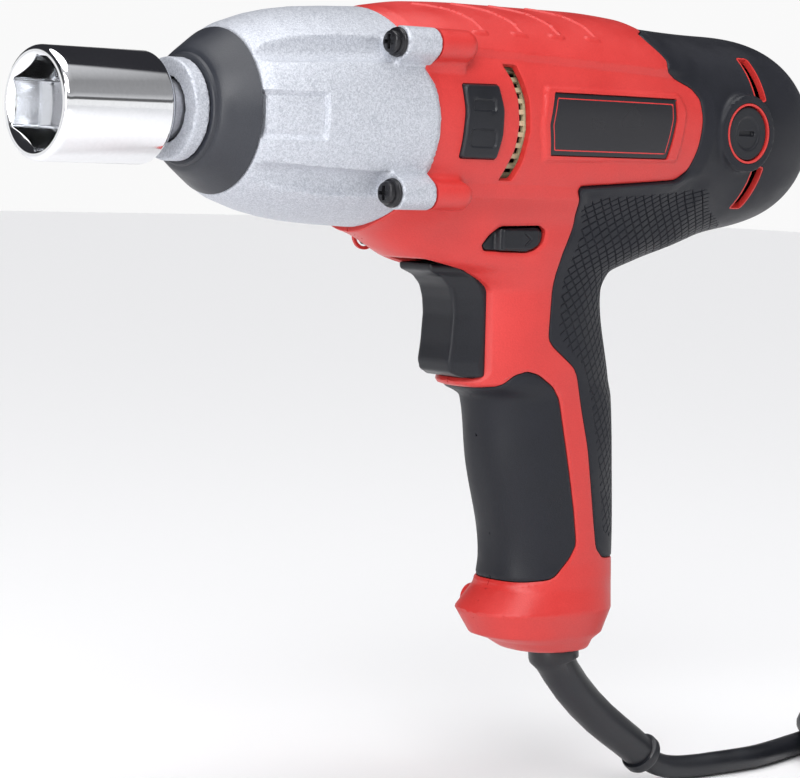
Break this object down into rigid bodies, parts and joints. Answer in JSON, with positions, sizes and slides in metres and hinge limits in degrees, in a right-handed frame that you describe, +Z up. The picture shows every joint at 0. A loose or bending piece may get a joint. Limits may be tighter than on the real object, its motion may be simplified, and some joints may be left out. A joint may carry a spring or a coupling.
{
  "type": "impact wrench",
  "caption": "Corded pistol-grip impact wrench with a square-drive socket, cast nose, soft grip, trigger, direction lever and a coiled mains lead.",
  "frame": {"origin": "middle of the hand grip, on the tool's plane of symmetry, 105 mm below the drive axis", "axes": "+Z up, handle down; +X to the rear of the motor, so the socket points to -X; +Y to the tool's right side as its user holds it"},
  "size_m": [0.4208, 0.1152, 0.2535],
  "materials": {
    "chrome": "polished chrome plate",
    "steel": "machined steel",
    "cast_alloy": "fine sand-cast, silver",
    "bumper_rubber": "matt moulded rubber",
    "red_plastic": "fine-textured moulding",
    "soft_grip": "moulded soft grip",
    "black_plastic": "fine-textured moulding",
    "label_film": "satin film",
    "screw_black": "black oxide",
    "bronze": "sintered bronze",
    "spring_steel": "drawn wire",
    "laminations": "stacked laminations with windings",
    "copper": "turned copper",
    "carbon": "pressed carbon",
    "cream_plastic": "plain moulding",
    "cord_rubber": "extruded rubber sheath"
  },
  "bodies": {
    "tool_body": {"front_bush": "bronze", "nose_housing": "cast_alloy", "nose_bumper": "bumper_rubber", "ring_gear": "steel", "gear_case_cover": "cast_alloy", "front_bearing": "steel", "rear_bearing": "steel", "field_stator": "laminations", "air_baffle": "cream_plastic", "brush_holder_left": "copper", "brush_holder_right": "copper", "carbon_brush_left": "carbon", "carbon_brush_right": "carbon", "brush_spring_left": "spring_steel", "brush_spring_right": "spring_steel", "brush_cap_left": "black_plastic", "brush_cap_right": "black_plastic", "shell_left": "red_plastic", "shell_right": "red_plastic", "rear_overmould_left": "soft_grip", "rear_overmould_right": "soft_grip", "grip_pad_left": "soft_grip", "grip_pad_right": "soft_grip", "side_pad_left": "black_plastic", "side_pad_right": "black_plastic", "label_left": "label_film", "label_right": "label_film", "trigger_spring": "spring_steel", "switch_body": "black_plastic", "capacitor": "cream_plastic", "cord_clamp": "black_plastic", "cord_boot": "cord_rubber", "cord": "cord_rubber", "cord_coil": "cord_rubber", "coil_tie": "black_plastic", "plug": "black_plastic", "nose_screw_upper_left": "screw_black", "nose_screw_lower_left": "screw_black", "nose_screw_upper_right": "screw_black", "nose_screw_lower_right": "screw_black", "shell_screw_1": "steel", "shell_screw_2": "steel", "shell_screw_3": "steel"},
    "camshaft": {"cam_shaft": "steel", "cam_ball_1": "steel", "cam_ball_2": "steel", "hammer_spring": "spring_steel"},
    "hammer": {"hammer": "steel"},
    "planet_1": {"planet_gear_1": "steel"},
    "planet_2": {"planet_gear_2": "steel"},
    "planet_3": {"planet_gear_3": "steel"},
    "armature": {"armature_shaft": "steel", "armature_core": "laminations", "commutator": "copper", "cooling_fan": "black_plastic"},
    "anvil": {"anvil": "steel", "retaining_ring": "spring_steel"},
    "socket": {"socket": "chrome"},
    "trigger": {"trigger": "black_plastic"},
    "direction_lever": {"direction_lever": "black_plastic"}
  },
  "joints": [
    {"name": "armature_spin", "type": "hinge", "parent": "tool_body", "child": "armature", "pos_m": [0.0554, 0, 0.105], "axis": [1, 0, 0], "continuous": true},
    {"name": "camshaft_spin", "type": "hinge", "parent": "tool_body", "child": "camshaft", "pos_m": [-0.0901, 0, 0.105], "axis": [1, 0, 0], "continuous": true},
    {"name": "anvil_spin", "type": "hinge", "parent": "tool_body", "child": "anvil", "pos_m": [-0.151, 0, 0.105], "axis": [1, 0, 0], "continuous": true},
    {"name": "hammer_retract", "type": "slide", "parent": "camshaft", "child": "hammer", "axis": [1, 0, 0], "range_m": [0, 0.009], "stiffness_N_per_m": 6000, "springref_m": -0.008, "deforming": ["hammer_spring"]},
    {"name": "socket_pull", "type": "slide", "parent": "anvil", "child": "socket", "axis": [-1, 0, 0], "range_m": [0, 0.03]},
    {"name": "trigger_slide", "type": "slide", "parent": "tool_body", "child": "trigger", "axis": [1, 0, 0], "range_m": [0, 0.008], "stiffness_N_per_m": 800, "springref_m": -0.004, "deforming": ["trigger_spring"]},
    {"name": "direction_slide", "type": "slide", "parent": "tool_body", "child": "direction_lever", "axis": [0, 1, 0], "range_m": [-0.0015, 0.0015]},
    {"name": "planet_1_spin", "type": "hinge", "parent": "camshaft", "child": "planet_1", "pos_m": [-0.0856, 0.015, 0.105], "axis": [1, 0, 0], "continuous": true},
    {"name": "planet_2_spin", "type": "hinge", "parent": "camshaft", "child": "planet_2", "pos_m": [-0.0856, -0.0075, 0.11799], "axis": [1, 0, 0], "continuous": true},
    {"name": "planet_3_spin", "type": "hinge", "parent": "camshaft", "child": "planet_3", "pos_m": [-0.0856, -0.0075, 0.09201], "axis": [1, 0, 0], "continuous": true}
  ],
  "couplings": [
    {"joint": "camshaft_spin", "follows": "armature_spin", "ratio": 0.15},
    {"joint": "anvil_spin", "follows": "armature_spin", "ratio": 0.15},
    {"joint": "planet_1_spin", "follows": "armature_spin", "ratio": -0.36429},
    {"joint": "planet_2_spin", "follows": "armature_spin", "ratio": -0.36429},
    {"joint": "planet_3_spin", "follows": "armature_spin", "ratio": -0.36429}
  ]
}
